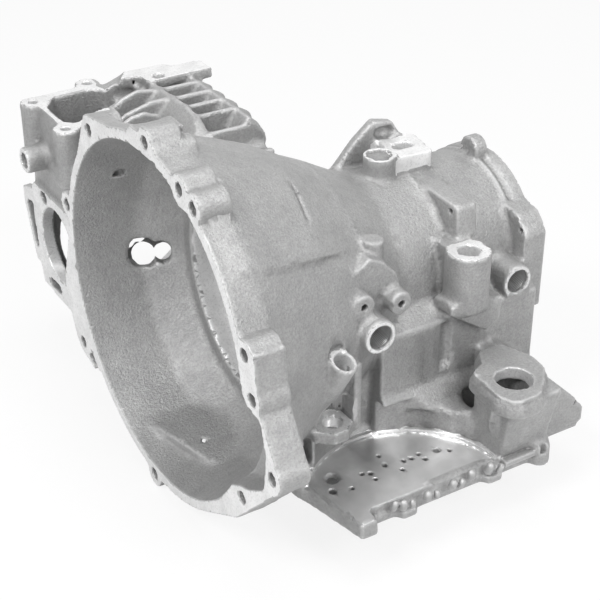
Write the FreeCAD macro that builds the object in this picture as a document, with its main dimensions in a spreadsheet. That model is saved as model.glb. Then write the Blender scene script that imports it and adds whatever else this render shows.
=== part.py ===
# Cast aluminium transaxle gearbox housing, one casting.
# Frame: X runs rearwards along the main shaft, Y towards the differential, Z up, in millimetres.
# The origin is the centre of the bell's bolt circle on the machined engine face, which lies at X = 0.

import FreeCAD, Part
import math
import os
import re

Vector = FreeCAD.Vector
Rotation = FreeCAD.Rotation
Placement = FreeCAD.Placement

doc = FreeCAD.newDocument("gearbox_housing")
sheet = doc.addObject("Spreadsheet::Sheet", "Sizes")

SIZES = {
    # Bell and its engine flange
    "bell_bolt_radius": 174.0,
    "bell_rim_width": 12.5,
    "bell_depth": 98.0,
    "bell_floor_radius": 125.0,
    "flange_boss_radius": 13.0,
    "flange_boss_length": 29.0,
    "flange_bolt_radius": 5.5,
    # Barrel round the gear trains and its stepped bore
    "barrel_shoulder_radius": 107.0,
    "barrel_shoulder_x": 165.0,
    "barrel_front_radius": 85.0,
    "barrel_front_x": 205.0,
    "barrel_rear_radius": 76.0,
    "rear_face_x": 358.0,
    "rear_flange_radius": 80.0,
    "rear_flange_thickness": 12.0,
    "pump_bore_radius": 112.0,
    "pump_bore_length": 24.0,
    "clutch_bore_radius": 100.0,
    "clutch_bore_length": 38.0,
    "gear_bore_radius": 70.0,
    # Sump, its floor and pan face
    "case_wall": 8.0,
    "pan_face_z": -141.0,
    "pan_rail_thickness": 8.0,
    "pan_rail_width": 9.0,
    "sump_floor_height": 16.0,
    "sump_front_x": 91.0,
    "sump_rear_x": 298.0,
    "sump_near_y": -187.0,
    "sump_far_y": 96.0,
    "sump_step_y": -167.0,
    "shelf_height": 42.0,
    "wall_near_y": -105.0,
    "wall_top_z": -19.0,
    "floor_cut_x": 150.5,
    "floor_cut_y": -186.5,
    "floor_cut_radius": 91.0,
    # Tower with the vertical bore at the sump's rear corner
    "tower_x": 265.0,
    "tower_y": -173.0,
    "tower_top_z": -52.0,
    "tower_bore_radius": 17.0,
    # Differential housing
    "diff_y": 258.0,
    "diff_z": -53.0,
    "diff_bore_radius": 41.0,
    "diff_plate_x": 20.0,
    "diff_plate_thickness": 14.0,
    "diff_rear_x": 196.0,
    "diff_far_y": 335.0,
    "cover_x": 128.0,
    "cover_z": -76.0,
    "cover_opening_radius": 83.0,
    "cover_rim_width": 10.0,
    "cover_rim_depth": 85.0,
    # Open box above the differential
    "box_top_z": 90.0,
    "box_front_x": 17.0,
    "box_front_set_back": 7.5,
    "box_rear_x": 104.0,
    "box_near_y": 222.0,
    "box_far_y": 313.0,
    "box_wall": 7.0,
    "box_depth": 80.0,
    "box_boss_radius": 13.0,
    "box_bolt_radius": 5.0,
    # Cooling fins on the transfer housing
    "fin_count": 5.0,
    "fin_pitch": 26.0,
    "fin_thickness": 5.0,
    "fin_first_y": 148.0,
    "fin_top_z": 98.0,
    "fin_height": 20.0,
    "fin_front_x": 142.0,
    "fin_rear_x": 200.0,
    "fin_web_width": 21.0,
    # Machined pad over the fins
    "pad_top_z": 100.0,
    "pad_thickness": 11.0,
    # Ports and bosses
    "port_radius": 16.0,
    "port_bore_radius": 11.0,
    "port_bore_depth": 26.0,
    "sensor_boss_radius": 11.0,
    "tapped_hole_radius": 3.2,
    "side_boss_radius": 20.5,
    "side_boss_bore_radius": 10.2,
    "side_boss_height": 56.0,
    "side_boss_top_z": 45.0,
    "side_boss_x": 261.0,
    "side_boss_y": -104.0,
    "block_top_z": 100.0,
    "block_thickness": 17.0,
    "lug_top_z": -75.0,
    "lug_thickness": 12.0,
    "lug_hole_radius": 8.5,
}

for row, (alias, value) in enumerate(SIZES.items(), start=1):
    sheet.set("A%d" % row, alias)
    sheet.set("B%d" % row, str(value))
    sheet.setAlias("B%d" % row, alias)
doc.recompute()


def size(alias):
    """The value that the sheet holds for one driving dimension."""
    return float(sheet.get(alias))


def bind(thing, **formulas):
    """Tie properties to formulas in the sheet's words; a double underscore stands for a dot."""
    for name, formula in formulas.items():
        words = re.sub(r"[A-Za-z_]\w*", r"Sizes.\g<0>", str(formula))
        thing.setExpression(name.replace("__", "."), words)
    return thing


# Turns that lay a cylinder's axis, or an outline's normal, along one direction of the frame.
AXIS_TURNS = {"X": Rotation(Vector(0, 1, 0), 90), "Y": Rotation(Vector(1, 0, 0), -90), "Z": Rotation()}
OUTLINE_TURNS = {
    "X": Rotation(Vector(0, 1, 0), Vector(0, 0, 1), Vector(1, 0, 0), "XYZ"),
    "Y": Rotation(Vector(1, 0, 0), Vector(0, 0, 1), Vector(0, -1, 0), "XYZ"),
    "Z": Rotation(),
}


def rod(name, axis, radius, start, end, across, up):
    """A cylinder along one axis; across and up are its place in the two other directions."""
    cylinder = doc.addObject("Part::Cylinder", name)
    cylinder.Placement = Placement(Vector(), AXIS_TURNS[axis])
    places = {"X": (start, across, up), "Y": (across, start, up), "Z": (across, up, start)}[axis]
    bind(cylinder, Radius=radius, Height="(%s) - (%s)" % (end, start),
         Placement__Base__x=places[0], Placement__Base__y=places[1], Placement__Base__z=places[2])
    return cylinder


def block(name, x_span, y_span, z_span):
    """A box between two formulas along each axis."""
    box = doc.addObject("Part::Box", name)
    bind(box, Length="(%s) - (%s)" % (x_span[1], x_span[0]), Width="(%s) - (%s)" % (y_span[1], y_span[0]),
         Height="(%s) - (%s)" % (z_span[1], z_span[0]),
         Placement__Base__x=x_span[0], Placement__Base__y=y_span[0], Placement__Base__z=z_span[0])
    return box


def outline_edges(points):
    """Closed outline of straight runs; a third number at a corner is the radius that rounds it."""
    count = len(points)
    corners = []
    for i in range(count):
        here = Vector(points[i][0], points[i][1], 0)
        before = Vector(points[i - 1][0], points[i - 1][1], 0)
        after = Vector(points[(i + 1) % count][0], points[(i + 1) % count][1], 0)
        radius = points[i][2] if len(points[i]) > 2 else 0.0
        to_before = (before - here).normalize()
        to_after = (after - here).normalize()
        half = to_before.getAngle(to_after) / 2
        if radius <= 0 or math.pi / 2 - half < 1e-3:
            corners.append((here, here, here))
            continue
        reach = min(radius / math.tan(half), 0.48 * before.distanceToPoint(here),
                    0.48 * after.distanceToPoint(here))
        radius = reach * math.tan(half)
        middle = (to_before + to_after).normalize()
        centre = here + middle * (radius / math.sin(half))
        corners.append((here + to_before * reach, centre - middle * radius, here + to_after * reach))
    edges = []
    for i in range(count):
        enter, middle, leave = corners[i]
        if enter.distanceToPoint(leave) > 1e-6:
            edges.append(Part.Arc(enter, middle, leave))
        following = corners[(i + 1) % count][0]
        if leave.distanceToPoint(following) > 1e-6:
            edges.append(Part.LineSegment(leave, following))
    return edges


def prism(name, axis, points, start, end):
    """An outline pushed along one axis. X outlines are (y, z), Y outlines (x, z), Z outlines (x, y)."""
    sketch = doc.addObject("Sketcher::SketchObject", name + "_outline")
    sketch.addGeometry(outline_edges(points), False)
    sketch.Placement = Placement(Vector(), OUTLINE_TURNS[axis])
    bind(sketch, **{"Placement__Base__" + axis.lower(): end if axis == "Y" else start})
    push = doc.addObject("Part::Extrusion", name)
    push.Base = sketch
    push.DirMode = "Normal"
    push.Solid = True
    bind(push, LengthFwd="(%s) - (%s)" % (end, start))
    return push


def turned(name, points, first_angle=None, sweep=360.0):
    """A profile of (x, radius) points turned round the main shaft's axis."""
    sketch = doc.addObject("Sketcher::SketchObject", name + "_profile")
    sketch.addGeometry(outline_edges(points), False)
    tilt = Rotation(Vector(1, 0, 0), first_angle if first_angle is not None else 0.0)
    sketch.Placement = Placement(Vector(), tilt)
    turn = doc.addObject("Part::Revolution", name)
    turn.Source = sketch
    turn.Axis = Vector(1, 0, 0)
    turn.Base = Vector(0, 0, 0)
    turn.Angle = sweep
    turn.Solid = True
    return turn


def joined(name, pieces):
    """All pieces fused into one."""
    fuse = doc.addObject("Part::MultiFuse", name)
    fuse.Shapes = pieces
    return fuse


def without(name, base, tool):
    """The base with the tool's volume taken away."""
    cut = doc.addObject("Part::Cut", name)
    cut.Base = base
    cut.Tool = tool
    return cut


def on_circle(radius, degrees):
    """A point (y, z) on a circle round the main axis."""
    return radius * math.cos(math.radians(degrees)), radius * math.sin(math.radians(degrees))


# Bolt holes of the engine flange: how far each lies outside the bolt circle, and its place in degrees.
FLANGE_BOLTS = ((1.4, 12.8), (0.9, 53.5), (-0.8, 93.0), (-4.2, 113.2), (-0.4, 120.9), (0.9, 160.6),
                (3.5, 172.5), (33.8, 189.4), (3.7, 208.6), (-1.6, 274.0), (18.5, 326.2))
FLANGE_BOLT_PLACES = [on_circle(size("bell_bolt_radius") + out, degrees) for out, degrees in FLANGE_BOLTS]


def round_outline(points):
    """(y, z) outline from polar places: how far outside the bolt circle, degrees and, if any, rounding."""
    around = size("bell_bolt_radius")
    return [on_circle(around + point[0], point[1]) + tuple(point[2:]) for point in points]


def bell_castings():
    """The conical bell with the barrel behind it, the flange's bolt bosses and its three corners."""
    rim = size("bell_bolt_radius") - 2
    rear = size("rear_face_x") - size("rear_flange_thickness")
    profile = [(0, 0), (0, rim), (30, rim - 5), (size("barrel_shoulder_x"), size("barrel_shoulder_radius")),
               (size("barrel_front_x"), size("barrel_front_radius")), (rear, size("barrel_rear_radius")), (rear, 0)]
    pieces = [turned("bell_and_barrel", profile)]
    for number, (y, z) in enumerate(FLANGE_BOLT_PLACES):
        pieces.append(rod("flange_boss_%d" % (number + 1), "X", "flange_boss_radius", "0",
                          "flange_boss_length", "%.3f" % y, "%.3f" % z))
    near_corner = round_outline([(0, 157), (18, 160), (14, 175), (34, 184), (44, 188), (44, 192), (36, 195),
                                 (11, 218), (-2, 238), (-58, 239), (-58, 165)])
    pieces.append(prism("near_corner", "X", near_corner, "0", "flange_boss_length"))
    far_corner = round_outline([(-2, 26), (4, -2), (25, -14), (31, -20), (33, -32), (27, -37), (11, -44), (-50, -48), (-54, 20)])
    pieces.append(prism("far_corner", "X", far_corner, "0", "flange_boss_length + 8"))
    top_corner = round_outline([(-2, 69), (16, 53.6, 8), (-2, 38), (-54, 40), (-54, 69)])
    pieces.append(prism("top_corner", "X", top_corner, "0", "flange_boss_length - 12"))
    top_boss = round_outline([(-20, 81), (-1, 82), (5, 84, 4), (4, 93), (1, 99, 6), (-20, 101)])
    pieces.append(prism("top_boss", "X", top_boss, "0", "flange_boss_length + 10"))
    gusset = [(20, -178), (30, -172), (64, -150), (64, -110), (20, -110)]
    pieces.append(prism("near_corner_gusset", "Z", gusset, "-62", "8"))
    # The upper near side of the cone is a step thicker than the wall below it.
    step = [(8, rim - 24), (8, rim - 1), (26, rim - 1), (108, rim - 34), (108, rim - 54)]
    pieces.append(turned("upper_step", step, 84.0, 58.0))
    return pieces


def barrel_castings():
    """The rear flange with its lugs."""
    flange = size("rear_flange_radius")
    pieces = [rod("rear_flange", "X", "rear_flange_radius", "rear_face_x - rear_flange_thickness", "rear_face_x",
                  "0", "0")]
    near_lug = [(-flange - 14, -47), (-flange - 14, 31), (-flange - 9, 39), (-flange, 48), (-60, 52), (-60, -47)]
    pieces.append(prism("rear_near_lug", "X", near_lug, "rear_face_x - 2 * rear_flange_thickness", "rear_face_x"))
    pieces.append(rod("rear_top_lug", "X", "13", "rear_face_x - 24", "rear_face_x - 10", "-2", "rear_flange_radius + 3"))
    far_lug = [on_circle(flange - 6, -25), on_circle(flange + 10, -32), on_circle(flange + 10, -38),
               on_circle(flange - 6, -45)]
    pieces.append(prism("rear_far_lug", "X", far_lug, "rear_face_x - 2 * rear_flange_thickness", "rear_face_x"))
    return pieces


def sump_castings():
    """The case below the barrel, the sump shelf, the pan rail and the tower at its rear corner."""
    front, rear = size("sump_front_x"), size("sump_rear_x")
    near, far, step = size("sump_near_y"), size("sump_far_y"), size("sump_step_y")
    back = size("rear_face_x")
    wall = size("wall_near_y")
    bottom = size("pan_face_z")
    rail = [(front, near - 11), (front + 17, near - 11), (front + 18, near), (front + 42, near),
            (front + 46, near - 7), (front + 60, near - 7), (front + 64, near),
            (front + 134, near), (front + 138, near - 7), (front + 152, near - 7), (front + 156, near),
            (rear + 2, near), (rear + 2, step),
            (back - 5, step), (back, step + 6), (back, -60), (330, far - 16), (200, far), (front - 26, far), (front - 26, -70)]
    pieces = [prism("pan_rail", "Z", rail, "pan_face_z", "pan_face_z + pan_rail_thickness")]
    floor = [(front - 15, -110), (front, near - 11), (front + 17, near - 11, 4), (front + 18, near + 4),
             (rear - 2, near + 4), (rear + 2, step), (back - 5, step), (back, step + 6), (back, -70), (330, far - 20),
             (front - 18, far - 8), (front - 18, -90)]
    pieces.append(prism("sump_floor", "Z", floor, "pan_face_z", "pan_face_z + sump_floor_height"))
    ridge = [(front - 15, -128), (front + 2, -108), (front + 40, -92), (front + 84, -92), (front + 84, -60),
             (front - 18, -60), (front - 18, -118)]
    pieces.append(prism("floor_ridge", "Z", ridge, "pan_face_z", "pan_face_z + sump_floor_height + 7"))
    shelf = [(front + 84, wall + 20), (front + 84, wall + 14), (front + 106, wall + 13), (front + 119, wall + 2),
             (front + 128, wall - 6), (front + 140, wall - 30), (front + 156, wall - 43), (front + 153, near + 8),
             (rear, near + 8), (rear, -130), (rear, wall + 20)]
    pieces.append(prism("sump_shelf", "Z", shelf, "pan_face_z", "pan_face_z + shelf_height"))
    pieces.append(rod("pan_rear_boss", "Z", "10", "pan_face_z", "pan_face_z + 23", "sump_rear_x - 9",
                      "sump_near_y - 1"))
    top = size("wall_top_z")
    section = [(wall, bottom + 4), (wall, top), (wall + 13, top + 7), (wall + 33, top + 23), (0, 20), (70, 0),
               (84, -60), (84, bottom + 4)]
    pieces.append(prism("lower_case", "X", section, "barrel_front_x - 34", "rear_face_x - 14"))
    inner = [(-86, bottom + 4), (-90, -20), (0, 20), (90, 0), (84, bottom + 4)]
    pieces.append(prism("lower_front_case", "X", inner, "bell_depth", "barrel_front_x"))
    shelf_root = [(wall + 2, bottom + 66), (wall - 20, bottom + 40), (wall + 2, bottom + 40)]
    pieces.append(prism("shelf_root", "X", shelf_root, "barrel_front_x - 34", "sump_rear_x - 10"))
    tower_front = size("floor_cut_x") + size("floor_cut_radius") + 2
    tower_low = size("tower_top_z") - 7
    tower = [(wall + 5, bottom), (near + 1, bottom), (near + 1, bottom + 14), (near - 14, tower_low - 3),
             (near - 14, tower_low), (wall + 5, tower_low)]
    body = prism("tower_block", "X", tower, "%.3f" % tower_front, "sump_rear_x")
    middle, centre = size("tower_x"), size("tower_y")
    corner = [(tower_front - 5, wall - 1), (middle + 13, wall - 1), (middle + 9, centre + 48), (middle - 17, centre + 31),
              (tower_front - 5, centre + 22)]
    pieces.append(without("tower", body, prism("tower_corner", "Z", corner, "pan_face_z + shelf_height",
                                               "tower_top_z")))
    plinth = [(middle - 25, centre + 21), (middle - 6, centre + 34), (middle + 3, centre + 35),
              (middle + 22, centre + 30), (middle + 35, centre + 24), (middle + 38, centre + 20),
              (middle + 35, centre + 1), (middle + 21, centre - 16), (middle + 7, centre - 29), (middle, centre - 32),
              (middle - 17, centre - 32), (middle - 24, centre - 28), (middle - 29, centre - 17)]
    pieces.append(prism("tower_boss", "Z", plinth, "tower_top_z - 7", "tower_top_z"))
    gusset = [(290, bottom + 6), (290, -56), (300, -60), (307, -67), (back - 10, -107), (back, -121),
              (back, bottom + 6)]
    pieces.append(prism("tower_gusset", "Y", gusset, "sump_step_y", "wall_near_y + 5"))
    return pieces


def differential_castings():
    """The differential housing, its front plate, the open box above it and the transfer housing."""
    y, z = size("diff_y"), size("diff_z")
    plate = [(y + 86, z + 34), (y + 60, z + 44), (y + 52, z + 52), (y - 24, z + 54), (y - 68, z + 39),
             (y - 72, z - 67), (y - 13, z - 67), (y + 49, z - 65), (y + 54, z - 43), (y + 64, z - 44),
             (y + 69, z - 32), (y + 85, z + 18)]
    pieces = [prism("diff_plate", "X", plate, "diff_plate_x", "diff_plate_x + diff_plate_thickness")]
    low = size("cover_z") - size("cover_opening_radius") - size("cover_rim_width")
    body = [(110, 46), (y + 42, 58), (y + 60, 40), (y + 64, 0), (y + 64, low + 30), (y + 32, low), (y - 40, low),
            (150, low + 22), (100, -110)]
    case = prism("diff_case_block", "X", body, "diff_plate_x + 6", "diff_rear_x")
    # Its lower front slopes back under the plate, so the plate's lower edge stands free.
    slope = [(18, z - 68), (34, z - 68), (92, z - 119), (92, z - 150), (18, z - 150)]
    pieces.append(without("diff_case", case, prism("diff_case_slope", "Y", slope, "140", "diff_far_y + 10")))
    reach = (size("cover_opening_radius") + size("cover_rim_width")) / math.cos(math.radians(15))
    rim = [(size("cover_x") + reach * math.cos(math.radians(angle)),
            size("cover_z") + reach * math.sin(math.radians(angle))) for angle in range(15, 375, 30)]
    pieces.append(prism("cover_rim", "Y", rim, "diff_far_y - cover_rim_depth", "diff_far_y"))
    base = size("fin_top_z") - size("fin_height")
    transfer = [(70, 60), (120, 56), (148, base - 8), (y + 32, base - 2), (y + 34, -10), (200, -60), (60, -60)]
    pieces.append(prism("transfer_case", "X", transfer, "bell_depth - 8", "fin_rear_x - 2"))
    front, rear = size("box_front_x"), size("box_rear_x")
    near, far = size("box_near_y"), size("box_far_y")
    face = front + size("box_front_set_back")
    box = [(face, near - 8), (face, far - 2), (rear - 6, far + 2), (rear, far - 10), (rear, near + 26),
           (front + 45, near + 14), (front + 29, near + 1), (front + 17, near - 8)]
    pieces.append(prism("top_box", "Z", box, "box_top_z - box_depth - 20", "box_top_z"))
    for number, (x, across) in enumerate(BOX_BOLTS):
        pieces.append(rod("box_boss_%d" % (number + 1), "Z", "box_boss_radius", "box_top_z - 60",
                          "box_top_z", "%.1f" % x, "%.1f" % across))
    # The far wall runs on past the box and rises to the pad.
    bridge = [(rear - 8, 60), (rear - 8, size("box_top_z") - 1), (rear + 24, size("pad_top_z")),
              (rear + 30, size("pad_top_z")), (rear + 30, 60)]
    pieces.append(prism("far_wall", "Y", bridge, "box_far_y - 23", "box_far_y - 10"))
    pieces.append(rod("front_stub", "X", "13.5", "1", "30", "diff_y + 17", "diff_z + 95"))
    bar = [(114, 287), (133, 283), (136, 264), (208, 264), (208, 291), (176, 293), (167, 302), (128, 303)]
    pieces.append(prism("top_pad", "Z", bar, "pad_top_z - pad_thickness", "pad_top_z"))
    pieces.append(block("pad_web", ("128", "fin_rear_x"), ("272", "288"), ("40", "pad_top_z - pad_thickness")))
    return pieces


# Bolt bosses on the box's rim, as (x, y).
BOX_BOLTS = ((size("box_front_x") + 8, size("box_far_y") - 12), (size("box_rear_x") - 13, size("box_far_y") + 4),
             (size("box_front_x") + 10, size("box_near_y") + 2))

# Curved ribs that run on forwards from a fin: its number and the (x, z) points of the rib's crest.
FRONT_FINS = ((4, ((70, 78), (86, 90), (99, 96), (115, 101), (128, 99), (139, 97))),
              (3, ((72, 80), (89, 91), (101, 94), (115, 98), (128, 98), (139, 98))),
              (2, ((70, 92), (83, 99), (89, 100), (98, 101), (106, 97), (113, 95))))


def fin_castings():
    """Upright fins across the transfer housing, in two rows parted by a flat web."""
    pieces = []
    top = size("fin_top_z")
    low = top - size("fin_height") - 12
    front, rear = size("fin_front_x"), size("fin_rear_x")
    web_front = front - size("fin_web_width")
    for number in range(int(size("fin_count"))):
        y = "fin_first_y + %d * fin_pitch" % number
        edge = top - (9 if number == 0 else 1)
        side = [(front - 4, low), (front - 4, edge), (rear - 17, edge), (rear - 11, edge - 3), (rear - 3, edge - 8),
                (rear, edge - 12), (rear + 2, low)]
        pieces.append(prism("fin_%d" % (number + 1), "Y", side, "%s - fin_thickness" % y, y))
    for number, crest in FRONT_FINS:
        y = "fin_first_y + %d * fin_pitch" % number
        side = [(64, 50)] + list(crest) + [(crest[-1][0], 50)]
        pieces.append(prism("front_fin_%d" % number, "Y", side, "%s - fin_thickness" % y, y))
    web = [(112, 44), (118, 52), (140, top - 16), (164, top - 2), (190, top + 2), (262, top), (262, 44)]
    web_block = prism("fin_web_block", "X", web, "fin_front_x - fin_web_width", "fin_front_x")
    chamfer = [(web_front - 5, top - 19), (web_front, top - 19), (front - 5, top), (front - 5, top + 9),
               (web_front - 5, top + 9)]
    pieces.append(without("fin_web", web_block, prism("fin_web_chamfer", "Y", chamfer, "fin_first_y - 16", "270")))
    # The pockets between the fins end in a ramp.
    ramp = [(rear - 34, 64), (rear - 28, top - 19), (rear - 17, top - 2), (rear - 5, top - 12), (rear - 1, 64)]
    pieces.append(prism("fin_ramp", "Y", ramp, "fin_first_y - 2", "fin_first_y + 4 * fin_pitch + 12"))
    near_wall = [(web_front, 40), (web_front, 64), (front, 70), (rear, 66), (rear, 44)]
    pieces.append(prism("fin_near_wall", "Y", near_wall, "fin_first_y - 24", "fin_first_y - 17"))
    return pieces


# The angled port points up and towards the near side.
ANGLED_PORT_FACE = Vector(108, -141, 2)
ANGLED_PORT_TURN = Rotation(Vector(0, 0, 1), Vector(0.18, -0.41, 0.89))

# Round bosses that face the near side: name, x, z and the face's y.
NEAR_PORTS = (("mid_port", 151.5, 4.5, -131), ("rear_port", 319, -4, -106))
SENSOR_BOSSES = ((142, 31), (180, 23))


def angled_rod(name, radius, depth, lift):
    """A cylinder on the angled port's axis, from lift outside its face to depth below it."""
    cylinder = doc.addObject("Part::Cylinder", name)
    start = Placement(Vector(0, 0, -depth), Rotation())
    cylinder.Placement = Placement(ANGLED_PORT_FACE, ANGLED_PORT_TURN) * start
    return bind(cylinder, Radius=radius, Height=str(depth + lift))


def side_castings():
    """Bosses, ports, lugs and the block that stand on the near side and the top of the barrel."""
    pieces = [rod("side_boss", "Z", "side_boss_radius", "side_boss_top_z - side_boss_height", "side_boss_top_z",
                  "side_boss_x", "side_boss_y")]
    pieces.append(block("side_boss_web", ("side_boss_x - 13", "side_boss_x + 11"), ("side_boss_y", "-50"),
                        ("side_boss_top_z - side_boss_height", "side_boss_top_z")))
    plate = [(-28, 77), (-82, 76, 5), (-86, 44), (-60, 36), (-28, 40)]
    pieces.append(prism("side_boss_gusset", "X", plate, "side_boss_x + 1", "side_boss_x + 23"))
    facet = [(236, 0), (236, -9), (278, -38), (292, -28), (294, -6)]
    pieces.append(prism("side_rib", "Y", facet, "side_boss_y - 13", "-90"))
    for name, x, z, face in NEAR_PORTS:
        pieces.append(rod(name, "Y", "port_radius", str(face), "-60", str(x), str(z)))
    for number, (x, z) in enumerate(SENSOR_BOSSES):
        pieces.append(rod("sensor_boss_%d" % (number + 1), "Y", "sensor_boss_radius", "-119", "-70", str(x), str(z)))
    saddle = [(131, 26), (134, 39), (143, 58), (156, 67), (170, 60), (184, 46), (189, 30), (160, 30)]
    pieces.append(prism("saddle", "Y", saddle, "-105", "-70"))
    pieces.append(rod("saddle_nub", "Z", "9.5", "30", "75", "170", "-88"))
    pieces.append(angled_rod("angled_port", "port_radius - 3.5", 44, 0))
    lug = [(92, -104), (135, -92), (134, -121), (117, -136), (105, -135), (90, -124)]
    pieces.append(prism("support_lug", "Z", lug, "lug_top_z - lug_thickness", "lug_top_z"))
    brace = [(96, -85), (95, -114), (118, -122), (132, -108), (132, -80)]
    pieces.append(prism("support_lug_brace", "Z", brace, "pan_face_z + sump_floor_height - 4",
                        "lug_top_z - lug_thickness"))
    pieces.append(block("recess_web", ("129", "137"), ("-126", "-70"), ("pan_face_z + sump_floor_height - 4", "-18")))
    top = [(251, 34), (279, 32), (290, 23), (284, -15), (246, -13)]
    pieces.append(prism("top_block", "Z", top, "block_top_z - block_thickness", "block_top_z"))
    pieces.append(block("top_block_foot", ("252", "280"), ("-8", "28"), ("60", "block_top_z - block_thickness")))
    pieces.append(rod("breather_boss", "Z", "15", "60", "block_top_z + 3", "233", "-3"))
    ear = [(204, 60), (205, 79), (228, 104), (248, 120), (269, 115), (277, 102), (286, 60)]
    pieces.append(prism("top_ear", "Y", ear, "28", "38"))
    return pieces


def gear_train_outline(grow):
    """The stepped outline of the bores along X, made larger by grow; the inner side is on the axis."""
    front = size("bell_depth")
    pump_end = front + size("pump_bore_length")
    clutch_end = pump_end + size("clutch_bore_length")
    pump, clutch, gear = (size(name + "_bore_radius") + grow for name in ("pump", "clutch", "gear"))
    rear = size("rear_face_x") + 5
    return [(front, 0), (front, pump), (pump_end + grow, pump), (pump_end + grow, clutch),
            (clutch_end + grow, clutch), (clutch_end + grow, gear), (rear, gear), (rear, 0)]


def hollows():
    """Everything that the casting is open to: bell, stepped bore, sump, differential and box."""
    mouth = size("bell_bolt_radius") - size("bell_rim_width")
    depth = size("bell_depth")
    bell = [(-5, 0), (-5, mouth), (0, mouth), (62, mouth - 14), (depth, size("bell_floor_radius"))]
    room = turned("main_cavity", bell + gear_train_outline(0)[1:])
    # The sump's roof shows inside the bell as a sloping flat that stands above the cone's lowest line.
    flat = [(30, -172), (30, -147), (80, -137), (depth, -137), (depth, -172)]
    roof = prism("bell_floor_flat", "Y", flat, "-75", "60")
    roof.Placement = Placement(Vector(), Rotation(Vector(0, 0, 1), 13.6))
    # Between the two close bolts at the top the flange bulges into the mouth.
    bulge = round_outline([(0, 108), (-13, 109), (-18, 112), (-19, 115), (-15, 118), (-12, 120), (0, 121)])
    mouth_boss = prism("mouth_boss", "X", bulge, "-6", "flange_boss_length")
    tools = [without("main_room", room, joined("left_in_room", [roof, mouth_boss]))]
    pocket = round_outline([(-14, 172), (-5, 176), (14, 177), (22, 185), (24, 193), (24, 196, 8), (6, 203),
                            (-4, 206), (-14, 212), (-40, 215)])
    tools.append(prism("corner_pocket", "X", pocket, "-5", "flange_boss_length - 5"))
    wall = size("pan_rail_width")
    front, rear_x = size("sump_front_x"), size("sump_rear_x")
    near, far, step = size("sump_near_y"), size("sump_far_y"), size("sump_step_y")
    case, rear = size("case_wall"), size("rear_face_x")
    pan_room = [(front + wall, near + wall), (rear_x - wall, near + wall), (rear_x - wall, step + wall),
                (rear - wall - 4, step + wall), (rear - wall - 4, -56), (322, far - 26), (200, far - wall - 2),
                (front - 10, far - wall - 2), (front - 10, -60), (front + wall, -90)]
    tools.append(prism("sump_cavity", "Z", pan_room, "pan_face_z - 5", "pan_face_z + sump_floor_height - 7"))
    well = [(106, -78), (size("barrel_front_x") - 24, -78), (size("barrel_front_x") - 24, size("wall_near_y") + case),
            (rear - 24, size("wall_near_y") + case), (rear - 24, 74), (106, 74)]
    shell = turned("gear_train_shell", gear_train_outline(case))
    deep = prism("sump_well_block", "Z", well, "pan_face_z - 5", "wall_top_z - 22")
    tools.append(without("sump_well", deep, shell))
    under = [(front + 138, -112), (front + 149, -130), (front + 163, -142), (rear_x - 8, -142), (rear_x + 44, -152),
             (rear_x + 44, -112)]
    tools.append(prism("shelf_well", "Z", under, "pan_face_z - 5", "pan_face_z + shelf_height - case_wall"))
    tools.append(block("tower_well", ("tower_x - 13", "tower_x + 24"), ("sump_near_y + 8", "wall_near_y - 6"),
                       ("pan_face_z - 5", "tower_top_z - 42")))
    y, z = size("diff_y"), size("diff_z")
    low = size("cover_z") - size("cover_opening_radius")
    chamber = [(186, 24), (192, 44), (y + 34, 48), (y + 52, 20), (y + 54, low + 28), (y + 28, low), (y - 36, low),
               (192, low + 12)]
    room = prism("diff_chamber_block", "X", chamber, "diff_plate_x + diff_plate_thickness",
                 "diff_rear_x - case_wall")
    slope = [(30, z - 57), (34, z - 57), (96, z - 111), (96, z - 150), (30, z - 150)]
    tools.append(without("diff_chamber", room, prism("diff_chamber_slope", "Y", slope, "140", "diff_far_y")))
    inner = [(140, 44), (190, 44), (190, low + 12), (160, low + 26), (140, low + 34)]
    tools.append(prism("diff_inner_chamber", "X", inner, "bell_depth + 6", "diff_rear_x - case_wall"))
    tools.append(rod("cover_opening", "Y", "cover_opening_radius", "diff_far_y - cover_rim_depth + 12", "diff_far_y + 5",
                     "cover_x", "cover_z"))
    roof_z = size("fin_top_z") - size("fin_height") - 8 - case
    gears = [(134, 40), (152, roof_z), (y + 22, roof_z + 4), (y + 22, 20), (134, 20)]
    tools.append(prism("transfer_room", "X", gears, "bell_depth + pump_bore_length", "fin_rear_x - case_wall"))
    # A barrel-shaped and a six-sided window open from the bell to the differential.
    window = [(50, -24), (52, -9), (56, -4), (70, -4), (74, -9), (80, -6), (87, -14), (87, -25), (81, -31),
              (74, -28), (70, -34), (55, -32)]
    tools.append(prism("bell_window", "Y", window, "110", "192"))
    front, rear = size("box_front_x"), size("box_rear_x")
    near, far = size("box_near_y"), size("box_far_y")
    gap = size("box_wall")
    face = front + size("box_front_set_back") + gap
    room = [(face, near + 18), (face, far - 33), (face + 8, far - 23), (face + 14, far - 13), (rear - 22, far - 12),
            (rear - 8, far - 21), (rear - 8, near + 33), (rear - 19, near + 30), (rear - 42, near + 23),
            (rear - 58, near + 12), (rear - 64, near + 10)]
    tools.append(prism("box_room", "Z", room, "box_top_z - box_depth", "box_top_z + 5"))
    tools.append(block("box_gap", ("box_rear_x - 14", "box_rear_x + 5"), ("box_near_y + 30", "box_far_y - 23"),
                       ("box_top_z - 22", "box_top_z + 5")))
    return tools


# Openings in the differential's front plate, as (y, z) measured from its bore's centre.
PLATE_WINDOWS = (((77, 21), (57, 26), (61, 15), (55, -24), (62, -28)),
                 ((35, 50), (20, 50), (21, 38), (35, 40)),
                 ((15, 50), (-9, 49), (-9, 44), (15, 45)),
                 ((30, -50), (4, -49), (2, -58), (33, -60)),
                 ((-35, -22), (-43, -25), (-41, -45), (-25, -53)))

# Long openings in the sump floor, as (x, y).
FLOOR_SLOTS = (((98, -126), (110, -122), (111, -134), (99, -138)),
               ((101, -156), (111, -160), (110, -164), (100, -160)))

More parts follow.
